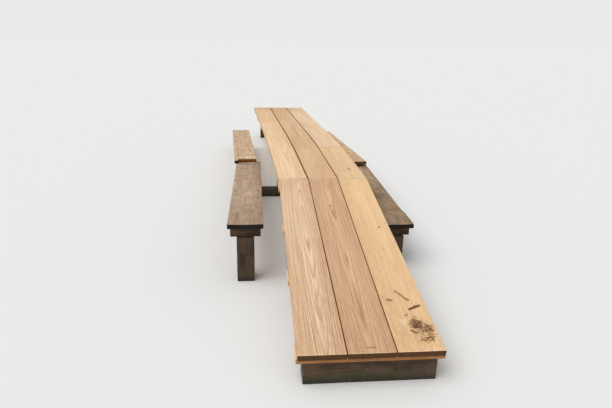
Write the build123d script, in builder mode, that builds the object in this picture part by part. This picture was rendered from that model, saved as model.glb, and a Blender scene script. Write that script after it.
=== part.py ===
from build123d import *
import os
from math import asin, cos, radians, sin, tan

# A plank footbridge: a new three-board deck laid between the weathered planks of an older one.
# X runs across the bridge, +Y along it from the near bank, +Z up. The origin is on the floor,
# under the middle of the sill that carries the near end.

# Driving dimensions in millimetres and degrees

# New deck
board_width = 286
board_thickness = 38
ramp_length = 2438
long_length = 4877
short_length = 1219
ramp_board_gap = 6
long_board_gap = 10
joint_gap = 8
butt_gap = 4
board_edge_radius = 3

# Heights of the walking surfaces: the near end, the joint and the old planks above the floor, the
# crest and the far end above and below the joint
near_end_height = 216
joint_height = 558
old_height = 396
crest_rise = 50
far_end_drop = 40

# Line of the deck beyond the joint
long_turn = 2.8
crest_distance = 1460
crest_radius = 20000

# Cross cleats under the boards
cleat_width = 140
cleat_thickness = 38
cleat_overhang = 8
long_cleat_inset = 3
cleat_clearance = 3
first_cleat_start = 17
second_cleat_start = 778
third_cleat_reach = 38
last_cleat_inset = 6
far_end_inset = 123
cleats_between = 3

# Old planks
old_thickness = 38
old_length = 2438
old_fall = 2.7
old_near_width = 284
old_left_gap = 169
old_right_tuck = 33
tuck_clearance = 3
old_far_width = 267
old_far_left_gap = 146
old_far_right_gap = 4
old_left_lap = 48
old_right_lap = 523
old_edge_radius = 5
split_strip_width = 46
split_strip_length = 85
split_taper = 8
sliver_depth = 12
sliver_start = 290
sliver_run = 110

# Supports
timber = 89
timber_edge = 4
wide_timber = 140
support_inset = 35
cap_planing = 3
near_sill_setback = 100
post_inset = 60
bearer_inset = 20
bearer_setback = 110
mudsill_overhang = 40

# Deck
board_pitch = board_width + ramp_board_gap
long_pitch = board_width + long_board_gap
half_deck = board_width / 2 + board_pitch
half_long_deck = board_width / 2 + long_pitch
deck_depth = board_thickness + cleat_thickness
ramp_slope = asin((joint_height - near_end_height) / ramp_length)
joint_y = ramp_length * cos(ramp_slope) - near_sill_setback
turn = radians(long_turn)
up_slope = crest_rise / crest_distance
down_slope = (far_end_drop + crest_rise) / (long_length - crest_distance)

# Old planks: the near end of the right one lies just where the ramp first clears it, and the far
# end of the left one just beyond the support under the butt joint
fall = radians(old_fall)
middle_y = joint_y + joint_gap + short_length * cos(turn)
ramp_underside = near_end_height - board_thickness / cos(ramp_slope)
right_near_y = (old_height + tuck_clearance - ramp_underside) / tan(ramp_slope) - near_sill_setback
left_near_y = middle_y + bearer_setback - old_length * cos(fall)
left_near_centre = -half_deck - old_left_gap - old_near_width / 2
right_near_centre = half_deck - old_right_tuck + old_near_width / 2
far_left_centre = -half_long_deck - old_far_left_gap - old_far_width / 2
far_right_centre = half_long_deck + old_far_right_gap + old_far_width / 2

# Cleats: at the ends of a section, under the butt joint and evenly between. The third one under
# the ramp stops beside the old plank that tucks under the deck.
deck_cleat = half_deck + cleat_overhang
short_cleat = right_near_centre - old_near_width / 2 - cleat_clearance
third_cleat = (right_near_y + near_sill_setback) / cos(ramp_slope) + third_cleat_reach - cleat_width
ramp_cleats = [
    (first_cleat_start, deck_cleat),
    (second_cleat_start, deck_cleat),
    (third_cleat, short_cleat),
    (ramp_length - last_cleat_inset - cleat_width, deck_cleat),
]
long_cleat_reach = half_long_deck - long_cleat_inset
ramp_corner = deck_depth * sin(ramp_slope)
first_long_cleat = long_cleat_reach * tan(turn) + ramp_corner + cleat_clearance - joint_gap
butt_cleat = short_length - cleat_width / 2
last_long_cleat = long_length - far_end_inset - cleat_width
cleat_spacing = (last_long_cleat - butt_cleat) / (cleats_between + 1)

# Supports
support_length = 2 * (half_deck - support_inset)
post_reach = support_length / 2 - post_inset - timber / 2
joint_cap_base = joint_height - deck_depth - timber + cap_planing

# Sizes of what is cut away, larger than any piece
clear_height = 4 * near_end_height
clear_width = 4 * half_deck

os.makedirs("parts", exist_ok=True)


def save(piece, name):
    """Writes a finished piece to its own file."""
    piece.part.label = name
    export_step(piece.part, f"parts/{name}.step")


def ramp_plane(across, along, drop):
    """A plane parallel to the ramp, a given drop below its walking surface."""
    up = Vector(0, -sin(ramp_slope), cos(ramp_slope))
    forward = Vector(0, cos(ramp_slope), sin(ramp_slope))
    near_end = Vector(across, -near_sill_setback, near_end_height)
    return Plane(origin=near_end + forward * along - up * drop, x_dir=(1, 0, 0), z_dir=up)


def long_side_plane(across):
    """The upright plane along the far section, a given distance right of its centre line."""
    right = Vector(cos(turn), sin(turn), 0)
    forward = Vector(-sin(turn), cos(turn), 0)
    start = Vector(0, joint_y + joint_gap, joint_height)
    return Plane(origin=start + right * across, x_dir=forward, z_dir=right)


def long_strip(across, start, end, drop, thickness):
    """The side view of a layer that follows the crest of the far section, at its left edge."""
    run_on = crest_distance
    line = [
        (-run_on, -run_on * up_slope),
        (crest_distance, crest_rise),
        (long_length + run_on, -far_end_drop - run_on * down_slope),
    ]
    with BuildSketch(long_side_plane(across)) as strip:
        with BuildLine():
            top = FilletPolyline(*[(u, z - drop) for u, z in line], radius=crest_radius)
            bottom = FilletPolyline(*[(u, z - drop - thickness) for u, z in line], radius=crest_radius)
            Line(top @ 0, bottom @ 0)
            Line(top @ 1, bottom @ 1)
        make_face()
        with Locations((start, 0)):
            Rectangle(end - start, 2 * clear_height, align=(Align.MIN, Align.CENTER), mode=Mode.INTERSECT)
    return strip.sketch


def above_ramp():
    """What lies higher than the underside of the ramp's cleats, drawn on that underside."""
    with BuildSketch(ramp_plane(0, 0, deck_depth)) as underside:
        Rectangle(clear_width, 2 * ramp_length)
    return underside.sketch


def above_long():
    """What lies higher than the underside of the far section's cleats, in side view."""
    run_on = crest_distance / 2
    head = clear_height / 2
    return long_strip(-clear_width / 2, -run_on, long_length + run_on, -head, head + deck_depth)


def long_point(across, along):
    """The place on the floor under a point of the far section."""
    x = across * cos(turn) - along * sin(turn)
    y = joint_y + joint_gap + across * sin(turn) + along * cos(turn)
    return x, y


def long_board(name, across, start, end):
    """A board of the far section, bowed over the crest, with its left edge at a given place."""
    with BuildPart() as board:
        extrude(long_strip(across, start, end, 0, board_thickness), amount=board_width)
        along = board.edges().filter_by(lambda edge: edge.length > board_width)
        fillet(along, board_edge_radius)
    save(board, name)


def plank_plane(x, y, top, angle=0, slant=0.0):
    """The top of an old plank from the middle of its near end, turned and falling by given angles."""
    heading = radians(angle)
    right = Vector(cos(heading), sin(heading), 0)
    forward = Vector(-sin(heading) * cos(slant), cos(heading) * cos(slant), -sin(slant))
    return Plane(origin=(x, y, top), x_dir=right, z_dir=right.cross(forward))


def height_at(plane, x, y):
    """How high a plane lies above a place on the floor."""
    away = Vector(x, y, 0) - Vector(plane.origin.X, plane.origin.Y, 0)
    return plane.origin.Z - away.dot(plane.z_dir) / plane.z_dir.Z


def lapped_plane(across, lap, near_plane):
    """The top of a far plank that lies on the far end of a near plank, by a given lap."""
    far_edge_y = near_plane.from_local_coords((0, old_length, 0)).Y
    start = (far_edge_y - joint_y - joint_gap - across * sin(turn)) / cos(turn) - lap
    x, y = long_point(across, start)
    near_x = near_plane.origin.X
    left = max(near_x - old_near_width / 2, x - old_far_width / 2)
    right = min(near_x + old_near_width / 2, x + old_far_width / 2)
    underside = plank_plane(x, y, 0, long_turn, fall).offset(-old_thickness)
    corners = [(left, far_edge_y), (right, far_edge_y), (left, y), (right, y)]
    top = max(height_at(near_plane, *corner) - height_at(underside, *corner) for corner in corners)
    return plank_plane(x, y, top, long_turn, fall)


def post(name, x, y, foot, head, angle=0, side=timber):
    """A square post between two heights, turned by an angle where it stands under a turned piece."""
    with BuildPart() as piece:
        with BuildSketch(Plane.XY.offset(foot)):
            with Locations(Location((x, y), angle)):
                RectangleRounded(side, side, timber_edge)
        extrude(amount=head - foot)
    save(piece, name)


def far_support(name, along, foot):
    """A cap that is planed to the underside of the far section's cleats, on two posts."""
    beyond = along - crest_distance
    top = joint_height + crest_rise + beyond * (up_slope if beyond < 0 else -down_slope) - deck_depth
    base = top - timber + cap_planing
    with BuildPart() as cap:
        with BuildSketch(Plane.XY.offset(base)):
            with Locations(Location(long_point(0, along), long_turn)):
                Rectangle(support_length, timber)
        extrude(amount=2 * timber)
        extrude(above_long(), amount=clear_width, mode=Mode.SUBTRACT)
    save(cap, f"{name}_cap")
    for side, across in [("left", -post_reach), ("right", post_reach)]:
        post(f"{name}_post_{side}", *long_point(across, along), foot, base, long_turn)


def bearing(name, plane, width, along, foot=0, angle=0):
    """A short cross timber under an old plank, planed to the plank's fall, on a square pile."""
    seat = plane.offset(-old_thickness)
    middle = seat.from_local_coords((0, along, 0))
    base = middle.Z - timber + cap_planing
    with BuildPart() as bearer:
        with BuildSketch(Plane.XY.offset(base)):
            with Locations(Location((middle.X, middle.Y), angle)):
                Rectangle(width - 2 * bearer_inset, timber)
        extrude(amount=2 * timber)
        with BuildSketch(seat):
            Rectangle(clear_width, 3 * old_length)
        extrude(amount=clear_height, mode=Mode.SUBTRACT)
    save(bearer, f"bearer_{name}")
    post(f"pile_{name}", middle.X, middle.Y, foot, base, angle, wide_timber)


# Ramp boards
for name, across in [("left", -board_pitch), ("middle", 0), ("right", board_pitch)]:
    with BuildPart() as ramp_board:
        with BuildSketch(ramp_plane(across, 0, 0)):
            Rectangle(board_width, ramp_length, align=(Align.CENTER, Align.MIN))
        extrude(amount=-board_thickness)
        fillet(ramp_board.edges().group_by(SortBy.LENGTH)[-1], board_edge_radius)
    save(ramp_board, f"ramp_board_{name}")

# Ramp cleats
for number, (start, right_reach) in enumerate(ramp_cleats, 1):
    with BuildPart() as ramp_cleat:
        with BuildSketch(ramp_plane(-deck_cleat, start, board_thickness)):
            Rectangle(deck_cleat + right_reach, cleat_width, align=(Align.MIN, Align.MIN))
        extrude(amount=-cleat_thickness)
    save(ramp_cleat, f"ramp_cleat_{number}")

# Far boards: each starts a joint gap beyond the ramp board before it
for name, place in [("left", -1), ("middle", 0), ("right", 1)]:
    left_edge = place * long_pitch - board_width / 2
    start = -left_edge * tan(turn)
    end = start + long_length
    if name == "right":
        butt = start + short_length
        long_board("short_board_right", left_edge, start, butt)
        start = butt + butt_gap
    long_board(f"long_board_{name}", left_edge, start, end)

# Far cleats
long_cleats = [first_long_cleat]
long_cleats += [butt_cleat + cleat_spacing * step for step in range(cleats_between + 2)]
for number, start in enumerate(long_cleats, 1):
    end = start + cleat_width
    with BuildPart() as long_cleat:
        strip = long_strip(-long_cleat_reach, start, end, board_thickness, cleat_thickness)
        extrude(strip, amount=2 * long_cleat_reach)
    save(long_cleat, f"long_cleat_{number}")

# Old planks, near pair: the left one falls away from the near bank, the right one is level
left_top = old_height + old_length * sin(fall)
left_near_plane = plank_plane(left_near_centre, left_near_y, left_top, 0, fall)
right_near_plane = plank_plane(right_near_centre, right_near_y, old_height)
with BuildPart() as old_near_left:
    with BuildSketch(left_near_plane):
        Rectangle(old_near_width, old_length, align=(Align.CENTER, Align.MIN))
    extrude(amount=-old_thickness)
    fillet(old_near_left.edges().group_by(SortBy.LENGTH)[-1], old_edge_radius)
save(old_near_left, "old_plank_near_left")

with BuildPart() as old_near_right:
    with BuildSketch(right_near_plane):
        edge = old_near_width / 2
        with BuildLine():
            Polyline(
                (-edge, 0),
                (edge, 0),
                (edge, sliver_start),
                (edge - sliver_depth, sliver_start + sliver_run),
                (edge - sliver_depth, old_length),
                (-edge, old_length),
                close=True,
            )
        make_face()
    extrude(amount=-old_thickness)
    fillet(old_near_right.edges().group_by(SortBy.LENGTH)[-1], old_edge_radius)
save(old_near_right, "old_plank_near_right")

# Old planks, far pair: they lap on the near pair and fall towards the far bank
left_far_plane = lapped_plane(far_left_centre, old_left_lap, left_near_plane)
with BuildPart() as old_far_left:
    with BuildSketch(left_far_plane):
        edge = -old_far_width / 2
        with BuildLine():
            Polyline(
                (edge, -split_strip_length),
                (edge + split_strip_width - split_taper, -split_strip_length + split_taper),
                (edge + split_strip_width, 0),
                (-edge, 0),
                (-edge, old_length),
                (edge, old_length),
                close=True,
            )
        make_face()
    extrude(amount=-old_thickness)
    fillet(old_far_left.edges().group_by(SortBy.LENGTH)[-1], old_edge_radius)
save(old_far_left, "old_plank_far_left")

right_far_plane = lapped_plane(far_right_centre, old_right_lap, right_near_plane)
with BuildPart() as old_far_right:
    with BuildSketch(right_far_plane):
        Rectangle(old_far_width, old_length, align=(Align.CENTER, Align.MIN))
    extrude(amount=-old_thickness)
    fillet(old_far_right.edges().group_by(SortBy.LENGTH)[-1], old_edge_radius)
save(old_far_right, "old_plank_far_right")

# Bearings of the old planks: near planks lie on two each, far planks on one and on a near plank.
# Those in the middle share a mudsill with the support under the butt joint.
bearing_far = old_length - bearer_setback
for side, near_plane, far_plane, slant in [
    ("left", left_near_plane, left_far_plane, fall),
    ("right", right_near_plane, right_far_plane, 0),
]:
    bearing_middle = (middle_y - near_plane.origin.Y) / cos(slant)
    bearing(f"near_{side}", near_plane, old_near_width, bearer_setback)
    bearing(f"middle_{side}", near_plane, old_near_width, bearing_middle, timber)
    bearing(f"far_{side}", far_plane, old_far_width, bearing_far, 0, long_turn)
mudsill_left = left_near_centre - wide_timber / 2 - mudsill_overhang
mudsill_right = right_near_centre + wide_timber / 2 + mudsill_overhang
with BuildPart() as mudsill:
    with BuildSketch(Plane.XY):
        with Locations(((mudsill_left + mudsill_right) / 2, middle_y)):
            Rectangle(mudsill_right - mudsill_left, wide_timber)
    extrude(amount=timber)
save(mudsill, "mudsill")

# Near end sill: its top is planed to the slope of the ramp
with BuildPart() as near_sill:
    with BuildSketch(Plane.XY):
        Rectangle(support_length, wide_timber)
    extrude(amount=near_end_height)
    extrude(above_ramp(), amount=clear_height, mode=Mode.SUBTRACT)
save(near_sill, "near_sill")

# Joint cap and posts: the cap is planed to both slopes where the ramp meets the far section
with BuildPart() as joint_cap:
    with BuildSketch(Plane.XY.offset(joint_cap_base)):
        with Locations((0, joint_y)):
            Rectangle(support_length, wide_timber)
    extrude(amount=2 * timber)
    extrude(above_ramp(), amount=clear_height, mode=Mode.SUBTRACT)
    extrude(above_long(), amount=clear_width, mode=Mode.SUBTRACT)
save(joint_cap, "joint_cap")
post("joint_post_left", -post_reach, joint_y, 0, joint_cap_base)
post("joint_post_right", post_reach, joint_y, 0, joint_cap_base)

# Supports under the butt joint and under the far end of the deck
far_support("middle", short_length, timber)
far_support("end", last_long_cleat + cleat_width / 2, 0)
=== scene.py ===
from math import asin, atan, cos, pi, radians, sin, tan

import bpy
import numpy as np
from mathutils import Matrix, Vector, noise


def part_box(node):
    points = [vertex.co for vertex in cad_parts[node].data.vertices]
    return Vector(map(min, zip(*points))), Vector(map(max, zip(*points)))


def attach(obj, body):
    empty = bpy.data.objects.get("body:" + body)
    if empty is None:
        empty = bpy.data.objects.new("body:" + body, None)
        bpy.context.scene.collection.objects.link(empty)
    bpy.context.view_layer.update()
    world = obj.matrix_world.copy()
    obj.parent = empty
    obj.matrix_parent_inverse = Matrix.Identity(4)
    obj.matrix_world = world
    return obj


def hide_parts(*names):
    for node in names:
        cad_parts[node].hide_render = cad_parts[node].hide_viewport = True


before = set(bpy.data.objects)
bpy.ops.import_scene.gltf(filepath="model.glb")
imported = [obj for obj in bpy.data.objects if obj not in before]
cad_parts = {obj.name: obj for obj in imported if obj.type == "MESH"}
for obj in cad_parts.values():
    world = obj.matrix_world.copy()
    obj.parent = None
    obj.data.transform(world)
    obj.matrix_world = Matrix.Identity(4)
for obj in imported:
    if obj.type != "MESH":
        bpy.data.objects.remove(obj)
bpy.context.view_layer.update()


# Ramp boards
# Three new softwood boards, sawn and left bare, rise side by side from the near end to the joint.
# Each is one wide plank from a different log, so the grain and tone change from board to board.
# They are fixed from below. Their near end faces and the faces between them are darkened, partly dirt and
# partly painted shade.

ramp_slope_length = 2.438
near_end_height = 0.216
board_edge = 0.003
board_cup = 0.0006
board_steps = (0.012, 0.03, 0.012)
end_check_share = 0.31
end_check_length = 0.11
end_check_width = 0.0012
end_check_depth = 0.006


def axes(heading, pitch=0.0):
    """Across, along and up for a piece that points along the bridge, turned left and tilted up."""
    across = Vector((cos(heading), sin(heading), 0))
    level = Vector((-sin(heading), cos(heading), 0))
    along = level * cos(pitch) + Vector((0, 0, sin(pitch)))
    return across, along, across.cross(along)


def own_points(node, directions):
    """The points of a CAD node, each as its reach along three directions."""
    points = np.array([vertex.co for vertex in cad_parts[node].data.vertices])
    return points @ np.array(directions).T


def measured(node, directions):
    """Lowest and highest reach of a CAD node along three directions."""
    points = own_points(node, directions)
    return points.min(0), points.max(0)


def straight_lay(node, directions):
    """Size of a straight piece, and how its own across, along and depth turn into a place."""
    low, high = measured(node, directions)
    start = np.array([(low[0] + high[0]) / 2, low[1], high[2]])

    def lay(points):
        return (points + start) @ np.array(directions)

    return high - low, lay


def stations(low, high, step, edge):
    """Places along one side of a piece, close together over its two eased edges."""
    ease = np.array([0, 0.35, 1, 2]) * edge
    count = max(1, round((high - low - 4 * edge) / step))
    middle = np.linspace(low + 2 * edge, high - 2 * edge, count + 1)
    return np.concatenate([low + ease[:-1], middle, high - ease[-2::-1]])


def box_skin(across, along, depth):
    """Points and outward quads of the skin of a box that is divided at the given places."""
    shape = (len(across), len(along), len(depth))
    skin = np.zeros(shape, bool)
    skin[[0, -1]] = skin[:, [0, -1]] = skin[:, :, [0, -1]] = True
    number = np.zeros(shape, int)
    number[skin] = np.arange(skin.sum())
    row, column, layer = np.nonzero(skin)
    quads = []
    for axis in range(3):
        for end in (0, -1):
            sheet = np.take(number, end, axis)
            quad = np.stack([sheet[:-1, :-1], sheet[1:, :-1], sheet[1:, 1:], sheet[:-1, 1:]], -1)
            quad = quad.reshape(-1, 4)
            outward = (end == -1) != (axis == 1)
            quads.append(quad if outward else quad[:, ::-1])
    return np.stack([across[row], along[column], depth[layer]], 1), np.concatenate(quads)


def wander(places, rate, seed):
    """A smooth random value between about -1 and 1 for each place, from fractal noise."""
    shift = Vector((3.1 * seed, 7.7 * seed, 1.3 * seed))
    rate = Vector(rate)
    return np.array([noise.fractal(Vector(place) * rate + shift, 1.0, 2.0, 3) for place in places])


def opened(grain, size, checks, seed):
    """The skin drawn apart along drying checks, given as across, start, end, width and depth.

    Returns each point's new place across, how far it sinks, and how deep it lies in a check, where 1
    is the bottom. A check runs out at its ends, save where it reaches past the end of the board."""
    across, along = grain[:, 0], grain[:, 1]
    sink, hollow, sway = np.zeros((3, len(grain)))
    for number, (place, start, end, width, depth) in enumerate(checks):
        inside = (along >= start) & (along <= end)
        run = np.minimum(along - start + (start <= 0), end - along + (end >= size[1]))
        taper = np.where(inside, np.sqrt(np.clip(run / (0.35 * (end - start)), 0, 1)), 0)
        beside = across - place
        bend = 1.5 * width * wander(np.stack([0 * along, along, 0 * along], 1), (0, 3, 0), seed + 11 * number)
        sway += bend * np.exp(-((beside / (12 * width)) ** 2))
        across = np.where(np.abs(beside) < 0.75 * width, place + beside * (0.2 + 0.8 * taper), across)
        middle = np.abs(beside) < 0.1 * width
        sink += depth * taper * middle
        hollow = np.maximum(hollow, taper * middle)
    return across + sway, sink, hollow


def frayed(across, along, size, ragged, seed):
    """The same places with both edges and both ends worn uneven, by up to a given depth."""
    width, length = size[:2]
    tip_reach = 0.06
    side = np.abs(wander(np.stack([np.sign(across), along, 0 * along], 1), (5, 14, 0), seed + 5))
    near_side = np.clip(np.abs(across) / (width / 2) * 6 - 5, 0, 1)
    across = across - np.sign(across) * ragged * side * near_side
    end = np.sign(along - length / 2)
    tip = np.abs(wander(np.stack([across, end, 0 * across], 1), (24, 5, 0), seed + 7))
    near_tip = np.clip(np.abs(2 * along / length - 1) * length / tip_reach - length / tip_reach + 1, 0, 1)
    return across, along - end * ragged * tip * near_tip


def eased(grain, size, ease):
    """How each point of a sharp box has to move so that its edges are rounded over."""
    width, length, thickness = size
    low = np.array([-width / 2, 0, -thickness]) + ease
    inner = np.clip(grain, low, np.array([width / 2, length, 0]) - ease)
    away = (grain - inner) / ease
    reach = np.linalg.norm(away, axis=1, keepdims=True)
    return np.where(reach > 0, inner + ease * away / np.maximum(reach, 1e-9), grain) - grain


def placed(name, data):
    """A new object of the scene, unturned and at the origin."""
    made = bpy.data.objects.new(name, data)
    bpy.context.scene.collection.objects.link(made)
    return made


def sawn_piece(name, size, lay, edge, steps, seed, cup=0.0, wear=0.0, ragged=0.0, checks=(), shape=None):
    """A board or timber with eased long edges and crisp sawn ends, its grain running along it.

    Cup is how far the middle of its top has sunk, wear how deep the top is worn, ragged how deep the
    edges and ends are. Shape is an optional function that narrows or shortens the piece. The mesh
    remembers each point's place in the sawn board as the attribute grain, and how deep it lies in a
    check as hollow."""
    width, length, thickness = size
    end_edge = edge / 3
    columns = stations(-width / 2, width / 2, steps[0], edge)
    for place, _, _, gap, _ in checks:
        columns = columns[np.abs(columns - place) > gap]
        columns = np.concatenate([columns, place + gap * np.array([-1, -0.5, 0, 0.5, 1])])
    rows = stations(0, length, steps[1], end_edge)
    layers = stations(-thickness, 0, steps[2], edge)
    grain, quads = box_skin(np.sort(columns), rows, layers)
    across, sink, hollow = opened(grain, size, checks, seed)
    along, below = grain[:, 1], grain[:, 2]
    if wear or cup:
        worn = wander(grain * (1, 1, 0), (28, 5, 1), seed + 3)
        sink = sink + (wear * np.clip(0.5 + 0.5 * worn, 0, 1) + cup * (1 - (2 * across / width) ** 2))
    below = below * (thickness - sink) / thickness - sink
    if ragged:
        across, along = frayed(across, along, size, ragged, seed)
    if shape is not None:
        across, along, below = shape(across, along, below, size)
    points = np.stack([across, along, below], 1) + eased(grain, size, np.array([edge, end_edge, edge]))
    mesh = bpy.data.meshes.new(name)
    mesh.from_pydata(lay(points).tolist(), [], quads.tolist())
    mesh.polygons.foreach_set("use_smooth", [True] * len(mesh.polygons))
    mesh.attributes.new("grain", "FLOAT_VECTOR", "POINT").data.foreach_set("vector", grain.ravel())
    mesh.attributes.new("hollow", "FLOAT", "POINT").data.foreach_set("value", hollow)
    return placed(name, mesh)


def seen(red, green, blue):
    """A colour as a screen shows it, 0 to 255, as the linear values that a shader takes."""
    parts = [value / 255 for value in (red, green, blue)]
    return [part / 12.92 if part <= 0.04045 else ((part + 0.055) / 1.055) ** 2.4 for part in parts] + [1]


def add(tree, kind, settings=None, sockets=None):
    """A node with its settings, its sockets given by name or number. A bare kind is a shader node."""
    made = tree.nodes.new(kind if "Node" in kind else "ShaderNode" + kind)
    for name, value in (settings or {}).items():
        setattr(made, name, value)
    for name, value in (sockets or {}).items():
        if isinstance(value, bpy.types.NodeSocket):
            tree.links.new(value, made.inputs[name])
        else:
            made.inputs[name].default_value = value
    return made


def worked(tree, operation, *values):
    """One step of arithmetic on numbers or sockets."""
    return add(tree, "Math", {"operation": operation}, dict(enumerate(values))).outputs[0]


def times(tree, product, *others):
    """Numbers or sockets multiplied together."""
    for other in others:
        product = worked(tree, "MULTIPLY", product, other)
    return product


def nudged(tree, value, uneven, reach):
    """A value moved to and fro with noise around a half, by up to half a given reach."""
    return worked(tree, "MULTIPLY_ADD", worked(tree, "SUBTRACT", uneven, 0.5), reach, value)


def between(tree, value, low, high, to_low=0.0, to_high=1.0):
    """A smooth step of a value between two limits."""
    sockets = {"Value": value, "From Min": low, "From Max": high, "To Min": to_low, "To Max": to_high}
    return add(tree, "MapRange", {"interpolation_type": "SMOOTHSTEP"}, sockets).outputs[0]


def stretched(tree, place, scale, shift):
    """A place multiplied and then shifted by a different amount in each direction."""
    return add(tree, "Mapping", None, {"Vector": place, "Scale": scale, "Location": shift}).outputs[0]


def cloudy(tree, place, scale, shift, detail, roughness=0.5):
    """Noise between 0 and 1, at a different rate per metre in each direction."""
    sockets = {"Vector": stretched(tree, place, scale, shift), "Scale": 1.0, "Detail": detail}
    sockets["Roughness"] = roughness
    return add(tree, "TexNoise", None, sockets).outputs["Fac"]


def cloudy_line(tree, along, rate, detail, roughness=0.5):
    """The outputs of noise that changes with one number only, at a rate per unit of it."""
    sockets = {"W": along, "Scale": rate, "Detail": detail, "Roughness": roughness}
    return add(tree, "TexNoise", {"noise_dimensions": "1D"}, sockets).outputs


def blended(tree, share, under, over, kind="MIX"):
    """Two colours mixed by a share between 0 and 1."""
    settings = {"data_type": "RGBA", "blend_type": kind}
    return add(tree, "Mix", settings, {0: share, 6: under, 7: over}).outputs[2]


def shaded(tree, colour, level):
    """A colour made darker or lighter by a level around 1."""
    grey = add(tree, "CombineColor", None, dict.fromkeys(range(3), level)).outputs[0]
    return blended(tree, 1.0, colour, grey, "MULTIPLY")


usual_log = dict(sway=0.03, loose=0.01, ripple=0.004, shift=0.0, faint=1.0, calm=0.045)


def growth_rings(tree, place, log, seed):
    """The year's rings that a sawn face shows, as darkness of late wood from 0 to 1.

    Log says where the heart lies, across the board and deep under its face, how fast it slants and
    dips along the board, and the place, wave and rise with which it nears the face and falls away
    again. Year is the width of a ring, shift starts the rings by a part of a year, faint is what is
    left of them over the heart and calm how wide that is, and sway, loose and ripple say how unevenly
    the log has grown. What it leaves out is as in the usual log."""
    log = {**usual_log, **log}
    across, along, depth = add(tree, "SeparateXYZ", None, {0: place}).outputs
    drift = cloudy_line(tree, worked(tree, "ADD", along, seed), 1.1, 3.0, 0.42)["Color"]
    bent = add(tree, "SeparateColor", None, {0: drift}).outputs
    turn = 2 * pi / log["wave"]
    swell = worked(tree, "COSINE", worked(tree, "MULTIPLY_ADD", along, turn, -turn * log["core"]))
    away = worked(tree, "MULTIPLY_ADD", along, -log["slant"], -log["heart"][0])
    away = nudged(tree, worked(tree, "ADD", away, across), bent[0], log["sway"])
    below = worked(tree, "MULTIPLY_ADD", along, -log["dip"], log["heart"][1])
    below = worked(tree, "MULTIPLY_ADD", worked(tree, "SUBTRACT", 1.0, swell), log["rise"] / 2, below)
    below = worked(tree, "ADD", nudged(tree, below, bent[1], log["loose"]), depth)
    from_heart = add(tree, "CombineXYZ", None, {0: away, 2: below}).outputs[0]
    radius = add(tree, "VectorMath", {"operation": "LENGTH"}, {0: from_heart}).outputs["Value"]
    ripple = cloudy(tree, place, (26, 2.4, 26), (seed, 0, 0), 4.0, 0.55)
    radius = worked(tree, "MULTIPLY_ADD", ripple, log["ripple"], radius)
    years = worked(tree, "DIVIDE", radius, log["year"])
    pace = cloudy_line(tree, years, 0.22, 1.0)["Fac"]
    years = worked(tree, "ADD", worked(tree, "MULTIPLY_ADD", pace, 2.4, years), log["shift"])
    ramp = add(tree, "ValToRGB", None, {0: worked(tree, "FRACT", years)})
    stops = ramp.color_ramp.elements
    for element, (part, dark) in zip(stops, ((0.0, 0.5), (1.0, 0.85))):
        element.position = part
        element.color = (dark, dark, dark, 1)
    for part, dark in ((0.05, 0.04), (0.5, 0.1), (0.78, 0.6), (0.93, 1.0)):
        stops.new(part).color = (dark, dark, dark, 1)
    which = add(tree, "TexWhiteNoise", {"noise_dimensions": "1D"}, {"W": worked(tree, "FLOOR", years)})
    strength = worked(tree, "MULTIPLY_ADD", which.outputs["Value"], 0.65, 0.55)
    off_heart = between(tree, worked(tree, "ABSOLUTE", away), 0.0, log["calm"], log["faint"], 1.0)
    return times(tree, ramp.outputs["Color"], strength, off_heart)


def spot(tree, place, centre, reach, softness, rough):
    """A mark on the top face: 1 inside an uneven oval of given reach, 0 outside."""
    scale = (1 / reach[0], 1 / reach[1], 0)
    shift = (-centre[0] / reach[0], -centre[1] / reach[1], 0)
    local = stretched(tree, place, scale, shift)
    distance = add(tree, "VectorMath", {"operation": "LENGTH"}, {0: local}).outputs["Value"]
    uneven = cloudy(tree, place, (90, 60, 90), (centre[1] * 9, 0, 0), 3.0)
    return between(tree, nudged(tree, distance, uneven, 2 * rough), 1 - softness, 1 + softness, 1.0, 0.0)


def marked(tree, colour, place, on_top, marks, rough):
    """A colour with marks, given as across, along, reach, colour and strength."""
    for across, along, reach, tone, strength in marks:
        mark = spot(tree, place, (across, along), reach, 0.6, rough)
        colour = blended(tree, times(tree, mark, on_top, strength), colour, tone)
    return colour


def new_finish(name, values):
    """A new material with its tree and its shader, on which the given values are set."""
    material = bpy.data.materials.new(name)
    material.use_nodes = True
    shader = material.node_tree.nodes["Principled BSDF"]
    for socket, value in values.items():
        shader.inputs[socket].default_value = value
    return material, material.node_tree, shader


def wood_shell(name):
    """A new matt wood with the board's own places, and no colour yet."""
    material, tree, shader = new_finish(name, {"Specular IOR Level": 0.3})
    place = add(tree, "Attribute", {"attribute_name": "grain"}).outputs["Vector"]
    return material, tree, shader, place


def surfaced(tree, shader, sockets, height, strength, depth):
    """Joins what is given to the shader's sockets, with a relief of a given strength and depth."""
    bump = add(tree, "Bump", None, {"Strength": strength, "Distance": depth, "Height": height})
    for name, value in {**sockets, "Normal": bump.outputs[0]}.items():
        tree.links.new(value, shader.inputs[name])


def soiled_and_shaded(tree, colour, along, length, ends, tone, uneven):
    """The end faces, each darkened to a tone by its own share, dirt and painted shade together."""
    for share, place in zip(ends, (along, worked(tree, "SUBTRACT", length, along))):
        if share:
            place = worked(tree, "MULTIPLY_ADD", uneven, -0.006, place)
            face = between(tree, place, -0.0025, 0.002, share, 0.0)
            face = times(tree, face, between(tree, uneven, 0.62, 0.3, 0.975, 1.0))
            colour = blended(tree, face, colour, tone)
    return colour


def grain_round_knots(tree, place, across, knots):
    """The board's own places, pushed aside where the grain flows round a knot."""
    pushed = place
    for knot_across, knot_along, radius, tone in knots:
        near = spot(tree, place, (knot_across, knot_along), (3.2 * radius, 7 * radius), 0.9, 0.0)
        away = times(tree, near, worked(tree, "SUBTRACT", across, knot_across), -0.55)
        push = add(tree, "CombineXYZ", None, {0: away}).outputs[0]
        pushed = add(tree, "VectorMath", {"operation": "ADD"}, {0: pushed, 1: push}).outputs[0]
    return pushed


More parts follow.
